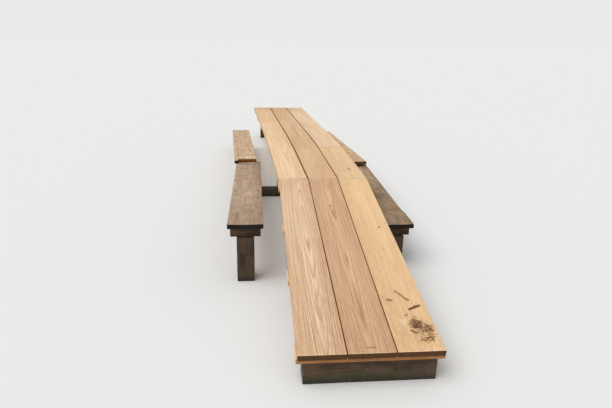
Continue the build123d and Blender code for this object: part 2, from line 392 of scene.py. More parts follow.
def knotted(tree, colour, place, knots, late):
    """A colour with round knots, given as across, along, radius and tone, each in a darker halo."""
    for across, along, radius, tone in knots:
        halo = spot(tree, place, (across, along), (1.7 * radius, 2.6 * radius), 0.5, 0.15)
        colour = blended(tree, times(tree, halo, 0.35), colour, late)
        core = spot(tree, place, (across, along), (radius, 1.15 * radius), 0.25, 0.12)
        colour = blended(tree, times(tree, core, 0.85), colour, tone)
    return colour


def bare_wood(name, size, early, late, blush, log, seed, depth=0.75, grainy=0.09, mottled=0.06,
              end_dirt_and_shade=seen(78, 46, 11), gap_dirt_and_shade=seen(146, 88, 32), sides=(0, 0), lip=0.0027, toning=(0, 0),
              tread_and_shade=(0, 0), ends=(0, 0), knots=(), marks=()):
    """New sawn softwood: pale early wood, darker late wood, a blush of heartwood and fine fibres.

    Depth is how strong the rings are, grainy the streaks and mottled the cloudiness. Sides says how
    much the left and right side faces and the lip above them darken towards a gap colour, dirt with
    painted shade, toning how far the top browns towards each side, tread how far it browns towards each
    end, trodden dirt with painted shade, and ends how far the end faces darken, dirt with painted shade.
    Knots are given as across, along, radius and tone, and marks on the top face as across, along, reach,
    colour and strength. The rims at both ends are a little paler, partly wear and partly a painted
    highlight that lightens the shaded joints."""
    material, tree, shader, place = wood_shell(name)
    across, along, below = add(tree, "SeparateXYZ", None, {0: place}).outputs
    width, length = float(size[0]), float(size[1])
    edges = (-width / 2, width / 2)
    rings = growth_rings(tree, grain_round_knots(tree, place, across, knots), log, seed)
    broad = cloudy(tree, place, (9, 0.9, 9), (seed, 3, 0), 2.0)
    streak = cloudy(tree, place, (170, 1.6, 170), (seed, 0, 5), 4.0, 0.66)
    fibre = cloudy(tree, place, (900, 22, 900), (0, seed, 0), 2.0, 0.6)
    patchiness = cloudy(tree, place, (34, 9, 34), (seed, 1, 0), 5.0, 0.65)
    mottle = cloudy(tree, place, (75, 30, 75), (seed, 4, 0), 5.0, 0.72)
    colour = blended(tree, between(tree, broad, 0.38, 0.66), early, blush)
    colour = blended(tree, times(tree, rings, depth), colour, late)
    colour = shaded(tree, colour, between(tree, streak, 0.28, 0.72, 1 - 1.1 * grainy, 1 + 0.9 * grainy))
    colour = blended(tree, between(tree, fibre, 0.64, 0.78, 0.0, 0.35), colour, late)
    colour = shaded(tree, colour, between(tree, mottle, 0.3, 0.7, 1 - mottled, 1 + mottled))
    brown = seen(160, 112, 72)
    for share, edge in zip(toning, edges):
        if share:
            lean = between(tree, across, 0.0, edge, 0.0, share)
            colour = blended(tree, times(tree, lean, between(tree, patchiness, 0.1, 0.7)), colour, brown)
    for share, end in zip(tread_and_shade, (0.0, length)):
        if share:
            near = between(tree, along, end, abs(end - 1.1), share, 0.0)
            colour = blended(tree, times(tree, near, between(tree, patchiness, 0.3, 0.7)), colour, brown)
    colour = knotted(tree, colour, place, knots, late)
    # Painted highlight: a narrow paler band at both ends, partly wear, lightens the shaded joints.
    for end in (0.0, length):
        inward = worked(tree, "ABSOLUTE", worked(tree, "SUBTRACT", along, end))
        inward = worked(tree, "MULTIPLY_ADD", mottle, 0.006, inward)
        colour = blended(tree, between(tree, inward, 0.004, 0.015, 0.45, 0.0), colour, seen(250, 226, 190))
    colour = marked(tree, colour, place, between(tree, below, -0.009, -0.003), marks, 0.5)
    # Painted shade on the side faces and the lip above them, together with dirt in the gaps between boards.
    for share, edge in zip(sides, edges):
        if share:
            inward = worked(tree, "ABSOLUTE", worked(tree, "SUBTRACT", across, edge))
            inward = worked(tree, "MULTIPLY_ADD", patchiness, 0.002, inward)
            colour = blended(tree, between(tree, inward, 0.0004, lip, share, 0.0), colour, gap_dirt_and_shade)
    # Painted shade with dirt: the end faces are darkened.
    colour = soiled_and_shaded(tree, colour, along, length, ends, end_dirt_and_shade, patchiness)
    dull = between(tree, fibre, 0.2, 0.8, 0.62, 0.86)
    saw = cloudy_line(tree, along, 260.0, 2.0)[0]
    height = worked(tree, "MULTIPLY_ADD", rings, 0.5, worked(tree, "MULTIPLY_ADD", saw, 0.35, fibre))
    surfaced(tree, shader, {"Base Color": colour, "Roughness": dull}, height, 0.35, 0.0007)
    return material


def dress(piece, material, node):
    """Gives a finished piece its material, and hangs it in place of its CAD node."""
    piece.data.materials.append(material)
    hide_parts(node)
    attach(piece, "root")


joint_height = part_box("ramp_board_middle")[1].z
ramp_slope = asin((joint_height - near_end_height) / ramp_slope_length)
ramp_axes = axes(0, ramp_slope)

# Ends darkens the near end faces and sides the faces between the boards, dirt with painted shade.
ramp_looks = {
    "left": dict(
        early=seen(234, 202, 166), late=seen(176, 134, 96), blush=seen(230, 192, 156),
        depth=1.0, grainy=0.25, seed=2.3, sides=(0.3, 0.85), gap_dirt_and_shade=seen(134, 78, 30),
        toning=(0.05, 0.32), tread_and_shade=(0.25, 0), ends=(1.0, 0),
        log=dict(heart=(0.024, 0.055), slant=0.006, dip=0.0, core=1.48, wave=3.3, rise=0.034,
                 sway=0.02, loose=0.005, ripple=0.0042, year=0.0072, shift=0.1, faint=0.6, calm=0.085),
        marks=[(0.03, 1.22, (0.010, 0.07), seen(158, 128, 92), 0.6),
               (0.016, 0.44, (0.012, 0.09), seen(172, 142, 106), 0.5),
               (0.0, 1.66, (0.22, 0.42), seen(244, 220, 188), 0.17)],
    ),
    "middle": dict(
        early=seen(219, 180, 142), late=seen(160, 114, 80), blush=seen(211, 168, 131),
        depth=0.74, grainy=0.2, seed=5.1, sides=(0.85, 0.8), gap_dirt_and_shade=seen(142, 84, 32),
        toning=(0.12, 0.12), tread_and_shade=(0.25, 0), ends=(1.0, 0),
        log=dict(heart=(-0.01, 0.14), slant=0.012, dip=0.0105, core=0.4, wave=1.9, rise=0.003,
                 loose=0.006, ripple=0.0036, year=0.0068, faint=0.6),
        marks=[(-0.001, 0.33, (0.014, 0.13), seen(164, 116, 92), 0.6),
               (-0.004, 0.56, (0.009, 0.16), seen(164, 116, 90), 0.55),
               (0.006, 0.99, (0.010, 0.08), seen(156, 114, 88), 0.5),
               (0.003, 1.71, (0.009, 0.06), seen(148, 104, 74), 0.55),
               (0.0, 1.85, (0.009, 0.016), seen(132, 90, 62), 0.7),
               (0.0, 0.05, (0.034, 0.007), seen(116, 80, 54), 0.6)],
    ),
    "right": dict(
        early=seen(237, 201, 153), late=seen(208, 161, 115), blush=seen(230, 192, 147),
        depth=0.38, grainy=0.1, mottled=0.085, seed=8.7, sides=(0.85, 0.3), gap_dirt_and_shade=seen(152, 94, 32),
        toning=(0.3, 0), tread_and_shade=(0.2, 0), ends=(1.0, 0),
        log=dict(heart=(0.03, 0.19), slant=0.02, dip=0.006, core=1.3, wave=2.6, rise=0.006, year=0.0066),
        knots=[(0.058, 1.458, 0.011, seen(160, 122, 82)), (0.125, 1.527, 0.005, seen(140, 50, 30)),
               (0.018, 1.114, 0.006, seen(150, 110, 76))],
        marks=[(-0.084, 0.489, (0.019, 0.016), seen(138, 104, 84), 0.7),
               (-0.046, 0.267, (0.022, 0.024), seen(242, 220, 194), 0.35),
               (0.06, 0.205, (0.055, 0.085), seen(150, 108, 80), 0.35),
               (0.02, 0.12, (0.05, 0.05), seen(190, 150, 112), 0.25),
               (0.0, 1.25, (0.22, 0.42), seen(196, 158, 116), 0.12)],
    ),
}
for side, look in ramp_looks.items():
    node = f"ramp_board_{side}"
    size, lay = straight_lay(node, ramp_axes)
    check_place = end_check_share * size[0] * (1 if side == "left" else -1)
    end_check = (check_place, -1, end_check_length, end_check_width, end_check_depth)
    board = sawn_piece(f"new_{node}", size, lay, board_edge, board_steps, look["seed"], cup=board_cup,
                       checks=[end_check])
    dress(board, bare_wood(f"bare wood, {side} ramp board", size, **look), node)


# Far boards
# The deck goes on beyond the joint, turned a little to the left, in boards twice as long that bow
# over the crest and fall to the far end. On the right a short board comes first, then a long one.

far_turn = radians(2.8)
joint_gap = 0.008
crest_rise = 0.050
far_end_drop = 0.040
crest_distance = 1.460
far_length = 4.877
board_thickness = 0.038
crest_radius = 20.0
far_axes = axes(far_turn)
joint_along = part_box("ramp_board_middle")[0].y + ramp_slope_length * cos(ramp_slope) + joint_gap
far_start = Vector((0, joint_along, joint_height))


def deck_rise(along):
    """Height of the far deck above the joint: straight up to the crest, a long bend, straight down."""
    up = crest_rise / crest_distance
    down = (crest_rise + far_end_drop) / (far_length - crest_distance)
    bend = crest_radius * tan((atan(up) + atan(down)) / 2)
    beyond = along - crest_distance
    straight = crest_rise + np.where(beyond < 0, up * beyond, -down * beyond)
    return straight - np.clip(bend - np.abs(beyond), 0, None) ** 2 / (2 * crest_radius)


def bowed_lay(node):
    """As straight_lay, for a board that follows the crest."""
    low, high = measured(node, far_axes)
    start = np.array(far_start)
    offset = start @ np.array(far_axes).T
    middle = (low[0] + high[0]) / 2 - offset[0]
    first = low[1] - offset[1]

    def lay(points):
        across, along = points[:, 0] + middle, points[:, 1] + first
        place = start + np.outer(across, far_axes[0]) + np.outer(along, far_axes[1])
        return place + np.outer(deck_rise(along) + points[:, 2], (0, 0, 1))

    return high - low, lay


# Tread darkens the boards towards their ends: trodden dirt with painted shade at the far end.
far_looks = {
    "short_board_right": dict(
        early=seen(230, 197, 154), late=seen(198, 155, 111), blush=seen(224, 187, 146),
        depth=0.4, grainy=0.13, seed=11.9, sides=(0.7, 0.3), lip=0.003,
        toning=(0.12, 0), ends=(0, 0.9),
        log=dict(heart=(-0.03, 0.2), slant=0.02, dip=0.006, core=0.6, wave=1.9, rise=0.004, year=0.0066),
        knots=[(0.029, 0.305, 0.015, seen(122, 88, 60))],
    ),
    "long_board_left": dict(
        early=seen(242, 210, 171), late=seen(200, 158, 116), blush=seen(236, 199, 158),
        depth=0.62, grainy=0.17, seed=14.2, sides=(0.3, 0.97), lip=0.0095,
        toning=(0, 0.22), tread_and_shade=(0, 0.8), ends=(0, 0.6),
        log=dict(heart=(0.02, 0.13), slant=-0.006, dip=0.006, core=2.0, wave=3.2, rise=0.008,
                 loose=0.008, ripple=0.0036, year=0.006),
        marks=[(0.0, 2.6, (0.3, 0.8), seen(196, 158, 116), 0.14),
               (0.0, 3.7, (0.3, 0.5), seen(194, 154, 104), 0.34)],
    ),
    "long_board_middle": dict(
        early=seen(223, 188, 149), late=seen(180, 136, 97), blush=seen(214, 175, 136),
        depth=0.55, grainy=0.15, seed=17.6, sides=(0.97, 0.85), lip=0.006,
        toning=(0.06, 0.06), tread_and_shade=(0, 0.5), ends=(0, 0.6),
        log=dict(heart=(-0.01, 0.15), slant=0.005, dip=0.005, core=1.4, wave=3.6, rise=0.008,
                 loose=0.008, ripple=0.0036, year=0.0058),
    ),
    "long_board_right": dict(
        early=seen(233, 204, 171), late=seen(197, 156, 119), blush=seen(227, 194, 158),
        depth=0.45, grainy=0.13, seed=20.4, sides=(0.95, 0.3), lip=0.006,
        toning=(0.1, 0), tread_and_shade=(0, 0.5), ends=(0.9, 0.6),
        log=dict(heart=(0.03, 0.2), slant=-0.01, dip=-0.005, core=1.9, wave=3.4, rise=0.008, year=0.0064),
    ),
}
for node, look in far_looks.items():
    size, lay = bowed_lay(node)
    size[2] = board_thickness
    board = sawn_piece(f"new_{node}", size, lay, board_edge, board_steps, look["seed"], cup=board_cup)
    dress(board, bare_wood(f"bare wood, {node.replace('_', ' ')}", size, **look), node)


# Cleats
# Short cross boards of the same new wood tie the three lines of the deck together from below. Their
# sawn ends stand a little past the ramp's edges, bright yellow where the sun has not dulled them, and on
# the ramp's last three cleats lightened further with painted sunlight. The first cleat's near face is
# darkened, dirt with painted shade.

cleat_edge = 0.002
cleat_steps = (0.02, 0.03, 0.012)
cleat_log = dict(heart=(0.0, 0.09), slant=0.03, dip=0.01, core=0.3, wave=1.3, rise=0.006,
                 sway=0.02, year=0.0058)
sun_dulled = seen(226, 176, 128)
# Painted sunlight: the ends of the ramp's cleats after the first are lightened.
bright = seen(250, 218, 164)
board_pitch = 0.292
long_pitch = 0.296
grade_step = 0.01
cleat_lays = []


def crosswise(directions):
    """The same directions for a piece that lies across the bridge, its grain from left to right."""
    across, along, up = directions
    return -along, across, up


def lay_cleat(node, directions, seed, early, late, blush, end_soil_and_shade, pitch, middle=None):
    """Makes and dresses a cleat, and notes where the lines of boards cross it, for its screws.

    Middle is the middle line's distance from the cleat's left end, half its length unless given."""
    size, lay = straight_lay(node, crosswise(directions))
    middle = size[1] / 2 if middle is None else middle
    lines = [middle + line for line in (-pitch, 0, pitch)]
    cleat_lays.append((size, lay, np.array(directions[2]), lines))
    cleat = sawn_piece(f"new_{node}", size, lay, cleat_edge, cleat_steps, int(node[-1]))
    look = bare_wood(f"bare wood, {node.replace('_', ' ')}", size, early, late, blush, cleat_log, seed,
                     sides=(0, end_soil_and_shade))
    dress(cleat, look, node)


for number in range(1, 5):
    node = f"ramp_cleat_{number}"
    # The first cleat's near face is darkened, dirt with painted shade.
    early, end_soil_and_shade = (sun_dulled, 0.85) if number == 1 else (bright, 0)
    lay_cleat(node, ramp_axes, 30 + 3.1 * number, early, seen(186, 132, 84), seen(222, 174, 122),
              end_soil_and_shade, board_pitch, -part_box(node)[0].x)

for number in range(1, 7):
    node = f"long_cleat_{number}"
    low, high = measured(node, far_axes)
    middle = (low[1] + high[1]) / 2 - far_start @ far_axes[1]
    rise = float(deck_rise(middle + grade_step) - deck_rise(middle - grade_step))
    lay_cleat(node, axes(far_turn, atan(rise / (2 * grade_step))), 50 + 2.7 * number,
              seen(240, 206, 156), seen(190, 140, 92), seen(230, 192, 142), 0, long_pitch)


# Old planks
# Four wide planks of the older crossing still lie on their timbers, two near and two lapped on top of
# them. They have weathered to a pinkish grey, cupped, checked along the grain and worn at the edges.

old_edge = 0.004
old_fall = -radians(2.7)
old_steps = (0.008, 0.012, 0.01)
old_cup = 0.002
old_wear = 0.0016
old_ragged = 0.004
split_strip_width = 0.046
split_length = 0.085
split_opening = 0.002
sliver_depth = 0.012
sliver_start = 0.290
sliver_run = 0.110


def weathered_wood(name, pale, dark, stain, log, seed, size, patches=(), lichen=(), damp=(0, 0),
                   end_grime_and_shade=seen(18, 14, 10), sunlit_fresh_end=None):
    """Old bare softwood: grey, with late wood standing proud, dark checks, blotches, and ends darkened
    nearly black by grime with painted shade.

    Patches are given as across, along, reach, colour and strength, lichen as the same without the
    colour, and damp says how far the top darkens towards the left and the right side, damp with painted
    shade where the deck stands beside it. The sunlit fresh end is the near end's own tone, fresh end grain
    lit with painted sunlight, and the place across from which it shows."""
    material, tree, shader, place = wood_shell(name)
    across, along, below = add(tree, "SeparateXYZ", None, {0: place}).outputs
    width, length = float(size[0]), float(size[1])
    rings = growth_rings(tree, place, log, seed)
    blotch = cloudy(tree, place, (10, 6, 10), (seed, 0, 0), 5.0, 0.65)
    silt = cloudy(tree, place, (4, 36, 4), (0, seed, 3), 5.0, 0.7)
    streak = cloudy(tree, place, (110, 2.6, 110), (0, seed, 0), 6.0, 0.64)
    hair = between(tree, cloudy(tree, place, (420, 6, 420), (seed, 0, 9), 2.0), 0.63, 0.72)
    speck = between(tree, cloudy(tree, place, (105, 75, 105), (seed, 2, 0), 3.0, 0.7), 0.56, 0.62)
    rubbed = cloudy(tree, place, (20, 7, 20), (seed, 6, 0), 4.0, 0.66)
    colour = blended(tree, between(tree, blotch, 0.3, 0.7), pale, stain)
    colour = blended(tree, times(tree, rings, 0.3), colour, dark)
    colour = blended(tree, between(tree, silt, 0.46, 0.7, 0.0, 0.12), colour, dark)
    colour = shaded(tree, colour, between(tree, streak, 0.25, 0.75, 0.72, 1.26))
    colour = blended(tree, times(tree, hair, 0.5), colour, dark)
    # Painted shade with damp: the top darkens towards a side, where the deck stands beside the plank.
    for share, edge in zip(damp, (-width / 2, width / 2)):
        if share:
            colour = blended(tree, between(tree, across, edge / 4, edge, 0.0, share), colour, dark)
    on_top = between(tree, below, -0.026, -0.008)
    colour = marked(tree, colour, place, on_top, patches, 0.7)
    for patch_across, patch_along, reach, strength in lichen:
        area = times(tree, on_top, spot(tree, place, (patch_across, patch_along), reach, 0.7, 0.5))
        colour = blended(tree, times(tree, speck, area, strength), colour, seen(196, 194, 150))
    colour = shaded(tree, colour, between(tree, rubbed, 0.36, 0.64, 0.86, 1.14))
    # Painted shade with grime: the end faces darken to their tone, nearly black unless given.
    colour = soiled_and_shaded(tree, colour, along, length, (1.0, 1.0), end_grime_and_shade, blotch)
    # Painted sunlight on fresh end grain: the near end face is gold right of the split, brightest at the top,
    # with painted shade lower down.
    if sunlit_fresh_end:
        tone, start = sunlit_fresh_end
        face = between(tree, along, 0.0, 0.0015, 1.0, 0.0)
        shown = between(tree, across, start, start + 0.004)
        sunlit_upper_share = between(tree, below, -0.036, -0.022, 0.3, 1.0)
        colour = blended(tree, times(tree, face, shown, sunlit_upper_share), colour, tone)
    hollow = add(tree, "Attribute", {"attribute_name": "hollow"}).outputs["Fac"]
    colour = blended(tree, between(tree, hollow, 0.1, 0.8), colour, seen(46, 38, 32))
    dull = between(tree, streak, 0.2, 0.8, 0.78, 0.95)
    height = worked(tree, "MULTIPLY_ADD", rings, 0.8, worked(tree, "MULTIPLY_ADD", hair, -0.8, streak))
    surfaced(tree, shader, {"Base Color": colour, "Roughness": dull}, height, 0.6, 0.0016)
    return material


def with_sliver_gone(across, along, below, size):
    """The right edge, narrower beyond a place near the end where a long sliver has come away."""
    gone = sliver_depth * np.clip((along - sliver_start) / sliver_run, 0, 1)
    share = np.clip(across / (size[0] / 2), 0, 1)
    return across - gone * share, along, below


def with_split_strip(across, along, below, size):
    """The near end, where only a narrow strip at the left edge reaches the full length."""
    split = -size[0] / 2 + split_strip_width
    short = split_length * np.clip((across - split) / split_opening, 0, 1)
    return across, short + along * (1 - short / size[1]), below


old_log = dict(heart=(0.03, 0.11), slant=0.01, dip=0.008, core=0.9, wave=2.4, rise=0.006, loose=0.012,
               ripple=0.005, year=0.0056)
low, high = measured("old_plank_far_left", far_axes)
far_left_split = split_strip_width - (high[0] - low[0]) / 2
old_looks = {
    "old_plank_near_left": dict(
        pitch=old_fall, heading=0.0, shape=None, seed=3,
        checks=[(0.035, -1, 0.62, 0.003, 0.012), (-0.07, -1, 0.3, 0.0024, 0.009),
                (0.075, 1.25, 3.0, 0.0026, 0.010), (-0.02, 1.6, 3.0, 0.003, 0.012),
                (0.105, 0.5, 1.3, 0.0018, 0.006)],
        # The darkening towards the right is painted shade from the deck beside this plank.
        pale=seen(194, 166, 139), dark=seen(104, 82, 66), stain=seen(170, 143, 119), damp=(0.0, 0.4),
        patches=[(0.118, 0.16, (0.02, 0.15), seen(128, 122, 116), 0.35),
                 (-0.11, 1.03, (0.014, 0.04), seen(96, 80, 70), 0.7),
                 (0.03, 1.12, (0.03, 0.012), seen(150, 88, 62), 0.6),
                 (0.03, 1.42, (0.028, 0.010), seen(150, 92, 66), 0.5),
                 (-0.02, 0.95, (0.15, 0.34), seen(200, 174, 148), 0.22),
                 (0.0, 0.2, (0.16, 0.36), seen(148, 122, 100), 0.4),
                 (0.0, 2.30, (0.13, 0.06), seen(120, 98, 80), 0.5)],
    ),
    "old_plank_near_right": dict(
        pitch=0.0, heading=0.0, shape=with_sliver_gone, seed=6,
        checks=[(-0.03, -1, 0.5, 0.003, 0.012), (0.06, -1, 0.24, 0.0024, 0.009),
                (0.02, 1.4, 3.0, 0.003, 0.012), (-0.09, 0.9, 1.7, 0.0018, 0.006)],
        pale=seen(156, 131, 105), dark=seen(90, 72, 56), stain=seen(133, 110, 86), damp=(0.1, 0.1),
        patches=[(-0.02, 0.8, (0.09, 0.11), seen(108, 88, 74), 0.55),
                 (0.02, 1.55, (0.11, 0.4), seen(182, 158, 130), 0.55),
                 (-0.02, 1.75, (0.05, 0.14), seen(190, 182, 168), 0.5)],
        lichen=[(0.11, 0.28, (0.05, 0.17), 0.75), (0.12, 0.72, (0.03, 0.22), 0.75),
                (-0.1, 0.22, (0.05, 0.25), 0.7), (0.1, 1.3, (0.04, 0.3), 0.5)],
    ),
    "old_plank_far_left": dict(
        pitch=old_fall, heading=far_turn, shape=with_split_strip, seed=9,
        checks=[(far_left_split + 0.006, -1, 1.5, 0.003, 0.02), (0.05, 1.2, 2.9, 0.002, 0.008),
                (-0.03, 1.6, 2.9, 0.0026, 0.012)],
        pale=seen(212, 184, 153), dark=seen(153, 124, 97), stain=seen(191, 163, 134),
        # The pale patch by the near end is painted sunlight on the top.
        patches=[(0.03, 0.14, (0.14, 0.06), seen(238, 202, 160), 0.5)],
        sunlit_fresh_end=(seen(134, 88, 10), far_left_split),
    ),
    "old_plank_far_right": dict(
        pitch=old_fall, heading=far_turn, shape=None, seed=12,
        checks=[(0.04, -1, 0.7, 0.0026, 0.012), (-0.06, 1.3, 2.9, 0.0026, 0.01)],
        pale=seen(217, 187, 149), dark=seen(138, 111, 84), stain=seen(188, 157, 124),
        # Its end faces darken to a tone of grime with painted shade.
        end_grime_and_shade=seen(84, 67, 42),
    ),
}
bearing_near = 0.110
bearing_far = 2.328
bearing_near_right = 2.077
lap_left = 0.024
lap_right = 0.262
plank_bearings = {
    "old_plank_near_left": (bearing_near, bearing_far),
    "old_plank_near_right": (bearing_near, bearing_near_right),
    "old_plank_far_left": (split_length + lap_left, split_length + bearing_far),
    "old_plank_far_right": (lap_right, bearing_far),
}
plank_lays = []
for node, look in old_looks.items():
    directions = axes(look.pop("heading"), look.pop("pitch"))
    size, lay = straight_lay(node, directions)
    plank_lays.append((size, lay, np.array(directions[2]), plank_bearings[node]))
    plank = sawn_piece(f"weathered_{node}", size, lay, old_edge, old_steps, look["seed"], cup=old_cup,
                       wear=old_wear, ragged=old_ragged, checks=look.pop("checks"), shape=look.pop("shape"))
    finish = weathered_wood(f"weathered wood, {node.replace('_', ' ')}", log=old_log, size=size, **look)
    dress(plank, finish, node)


# Sill, caps and posts
# Square timbers carry the planks and the deck: a heavy sill under the near end, caps planed to the
# slope of the deck on square posts, and short bearers on piles. They are sawn from old stock, brown
# with age, and dark and green at the foot, where the damp stays longest.

timber_edge = 0.004
timber_steps = (0.02, 0.03, 0.02)
timber_wear = 0.001
timber_log = dict(heart=(0.012, 0.05), slant=0.004, dip=0.004, core=0.3, wave=1.1, rise=0.004,
                  sway=0.01, year=0.005)


def damp_timber(name, pale, dark, seed):
    """Old structural timber, dark with damp and mossy towards its foot."""
    material, tree, shader, place = wood_shell(name)
    rings = growth_rings(tree, place, timber_log, seed)
    blotch = cloudy(tree, place, (12, 6, 12), (seed, 0, 0), 5.0, 0.62)
    streak = cloudy(tree, place, (170, 6, 170), (0, seed, 0), 5.0, 0.66)
    standing = add(tree, "TexCoord").outputs["Object"]
    uneven = cloudy(tree, standing, (34, 34, 16), (seed, 0, 0), 5.0, 0.62)
    height = add(tree, "SeparateXYZ", None, {0: standing}).outputs[2]
    level = worked(tree, "MULTIPLY_ADD", uneven, -0.12, height)
    colour = blended(tree, between(tree, blotch, 0.35, 0.65), pale, dark)
    colour = blended(tree, times(tree, rings, 0.45), colour, seen(40, 31, 24))
    colour = shaded(tree, colour, between(tree, streak, 0.2, 0.8, 0.72, 1.2))
    moss = times(tree, between(tree, level, -0.01, 0.05, 0.75, 0.0), between(tree, blotch, 0.42, 0.6))
    colour = blended(tree, moss, colour, seen(74, 76, 40))
    colour = blended(tree, between(tree, level, -0.05, 0.012, 0.7, 0.0), colour, seen(34, 29, 23))
    dull = between(tree, level, -0.03, 0.05, 0.45, 0.88)
    relief = worked(tree, "MULTIPLY_ADD", rings, 0.7, streak)
    surfaced(tree, shader, {"Base Color": colour, "Roughness": dull}, relief, 0.55, 0.0016)
    return material


def planed(node, directions):
    """A shape whose top follows the planed top of the CAD timber, read off at its two ends."""
    points = own_points(node, directions)
    low, high = points.min(0), points.max(0)
    top = points[points[:, 2] > (low[2] + high[2]) / 2]
    ends = []
    for end in (low[1], high[1]):
        row = top[np.abs(top[:, 1] - end) < timber_edge]
        row = row[np.argsort(row[:, 0])]
        ends.append((row[:, 0] - (low[0] + high[0]) / 2, row[:, 2] - high[2]))

    def shape(across, along, below, size):
        left, right = (np.interp(across, *end) for end in ends)
        drop = left + (right - left) * along / size[1]
        return across, along, below + drop * (1 + below / size[2])

    return shape


upright = (Vector((1, 0, 0)), Vector((0, 0, 1)), Vector((0, -1, 0)))
turned_upright = (far_axes[0], Vector((0, 0, 1)), -far_axes[1])
cross = crosswise(axes(0))
turned_cross = crosswise(far_axes)
timbers = {
    "near_sill": cross, "joint_cap": cross, "middle_cap": turned_cross, "end_cap": turned_cross,
    "joint_post_left": upright, "joint_post_right": upright,
    "middle_post_left": turned_upright, "middle_post_right": turned_upright,
    "end_post_left": turned_upright, "end_post_right": turned_upright,
    "mudsill": cross,
}
for side in ("left", "right"):
    for place in ("near", "middle"):
        timbers[f"bearer_{place}_{side}"] = cross
        timbers[f"pile_{place}_{side}"] = upright
    timbers[f"bearer_far_{side}"] = turned_cross
    timbers[f"pile_far_{side}"] = turned_upright
for number, (node, directions) in enumerate(timbers.items()):
    size, lay = straight_lay(node, directions)
    bearing = any(word in node for word in ("sill", "cap", "bearer"))
    shape = planed(node, directions) if bearing else None
    beam = sawn_piece(f"old_{node}", size, lay, timber_edge, timber_steps, 20 + number, wear=timber_wear,
                      ragged=timber_wear, shape=shape)
    finish = damp_timber(f"damp timber, {node.replace('_', ' ')}", seen(98, 78, 60), seen(66, 52, 40),
                         80 + 1.9 * number)
    dress(beam, finish, node)


# Fixings
# Steel screws hold the deck boards from below, two through each cleat into each board. The old planks
# are nailed down from above at their bearers and at the laps, with heads that have long since rusted.

screw_head = 0.0046
screw_rise = 0.0011
screw_recess = 0.0022
screw_rows = (-0.085, 0.085)
screw_stagger = 0.022
head_tilt = 0.05
nail_head = 0.0052
nail_rise = 0.0012
nail_sink = 0.0016
nail_rows = ((-0.32, 0.008), (0.3, -0.010))


def head_mesh(name, radius, rise, recess):
    """A low round head, with a square recess for the driver where one is wanted."""
    sides = 12
    rings = [(radius, -rise), (radius, 0.35 * rise), (0.72 * radius, rise)]
    turns = [2 * pi * side / sides for side in range(sides)]
    points = [(reach * cos(turn), reach * sin(turn), level) for reach, level in rings for turn in turns]
    faces = [tuple(reversed(range(sides)))]
    for ring in range(len(rings) - 1):
        for side in range(sides):
            first, second = ring * sides + side, ring * sides + (side + 1) % sides
            faces.append((first, second, second + sides, first + sides))
    last = (len(rings) - 1) * sides
    if recess:
        quarters = [pi / 2 * side for side in range(4)]
        for level in (rise, -0.4 * rise):
            points += [(recess * cos(turn), recess * sin(turn), level) for turn in quarters]
        lip, floor = last + sides, last + sides + 4
        for side in range(4):
            corner, after = lip + side, lip + (side + 1) % 4
            rim = [last + (3 * side + step) % sides for step in range(4)]
            faces += [(corner, rim[0], rim[1]), (corner, rim[1], rim[2], after), (after, rim[2], rim[3])]
            faces.append((corner, after, floor + (side + 1) % 4, floor + side))
        faces.append(tuple(range(floor, floor + 4)))
    else:
        faces.append(tuple(range(last, last + sides)))
    mesh = bpy.data.meshes.new(name)
    mesh.from_pydata(points, [], faces)
    return mesh


def new_group(name, inputs):
    """An empty geometry tree with its named inputs, and the nodes at its two ends."""
    tree = bpy.data.node_groups.new(name, "GeometryNodeTree")
    tree.interface.new_socket("Geometry", in_out="OUTPUT", socket_type="NodeSocketGeometry")
    for label, kind in {"Geometry": "Geometry", **inputs}.items():
        tree.interface.new_socket(label, in_out="INPUT", socket_type=f"NodeSocket{kind}")
    return tree, tree.nodes.new("NodeGroupInput"), tree.nodes.new("NodeGroupOutput")


def grown(name, base, tree, values):
    """The plain mesh piece that a geometry tree makes from a base mesh with the given inputs."""
    start = placed(f"{name}_places", base)
    modifier = start.modifiers.new("pieces", "NODES")
    modifier.node_group = tree
    for item in tree.interface.items_tree:
        if item.in_out == "INPUT" and item.name in values:
            modifier[item.identifier] = values[item.name]
    bpy.context.view_layer.update()
    mesh = bpy.data.meshes.new_from_object(start.evaluated_get(bpy.context.evaluated_depsgraph_get()))
    mesh.name = name
    start.modifiers.clear()
    bpy.data.objects.remove(start)
    return placed(name, mesh)


# A head sits on every point of the base mesh, pointing along that point's axis. Each is spun and
# tilted at random, so that no two recesses line up.
head_tree, given, result = new_group("heads at places", {"Head": "Object", "Finish": "Material"})
head_shape = add(head_tree, "GeometryNodeObjectInfo", None, {"Object": given.outputs["Head"]})
head_axis = add(head_tree, "GeometryNodeInputNamedAttribute", {"data_type": "FLOAT_VECTOR"}, {"Name": "axis"})
head_turn = add(head_tree, "FunctionNodeAlignRotationToVector", {"axis": "Z"},
                {"Vector": head_axis.outputs["Attribute"]})
head_spin = add(head_tree, "FunctionNodeRandomValue", {"data_type": "FLOAT_VECTOR"},
                {0: (-head_tilt, -head_tilt, 0.0), 1: (head_tilt, head_tilt, 2 * pi), "Seed": 4})
head_turn = add(head_tree, "FunctionNodeRotateRotation", {"rotation_space": "LOCAL"},
                {"Rotation": head_turn.outputs[0], "Rotate By": head_spin.outputs[0]})
heads = add(head_tree, "GeometryNodeInstanceOnPoints", None, {
    "Points": given.outputs["Geometry"], "Instance": head_shape.outputs["Geometry"],
    "Rotation": head_turn.outputs[0]})
heads = add(head_tree, "GeometryNodeRealizeInstances", None, {"Geometry": heads.outputs["Instances"]})
heads = add(head_tree, "GeometryNodeSetMaterial", None, {
    "Geometry": heads.outputs["Geometry"], "Material": given.outputs["Finish"]})
head_tree.links.new(heads.outputs["Geometry"], result.inputs["Geometry"])


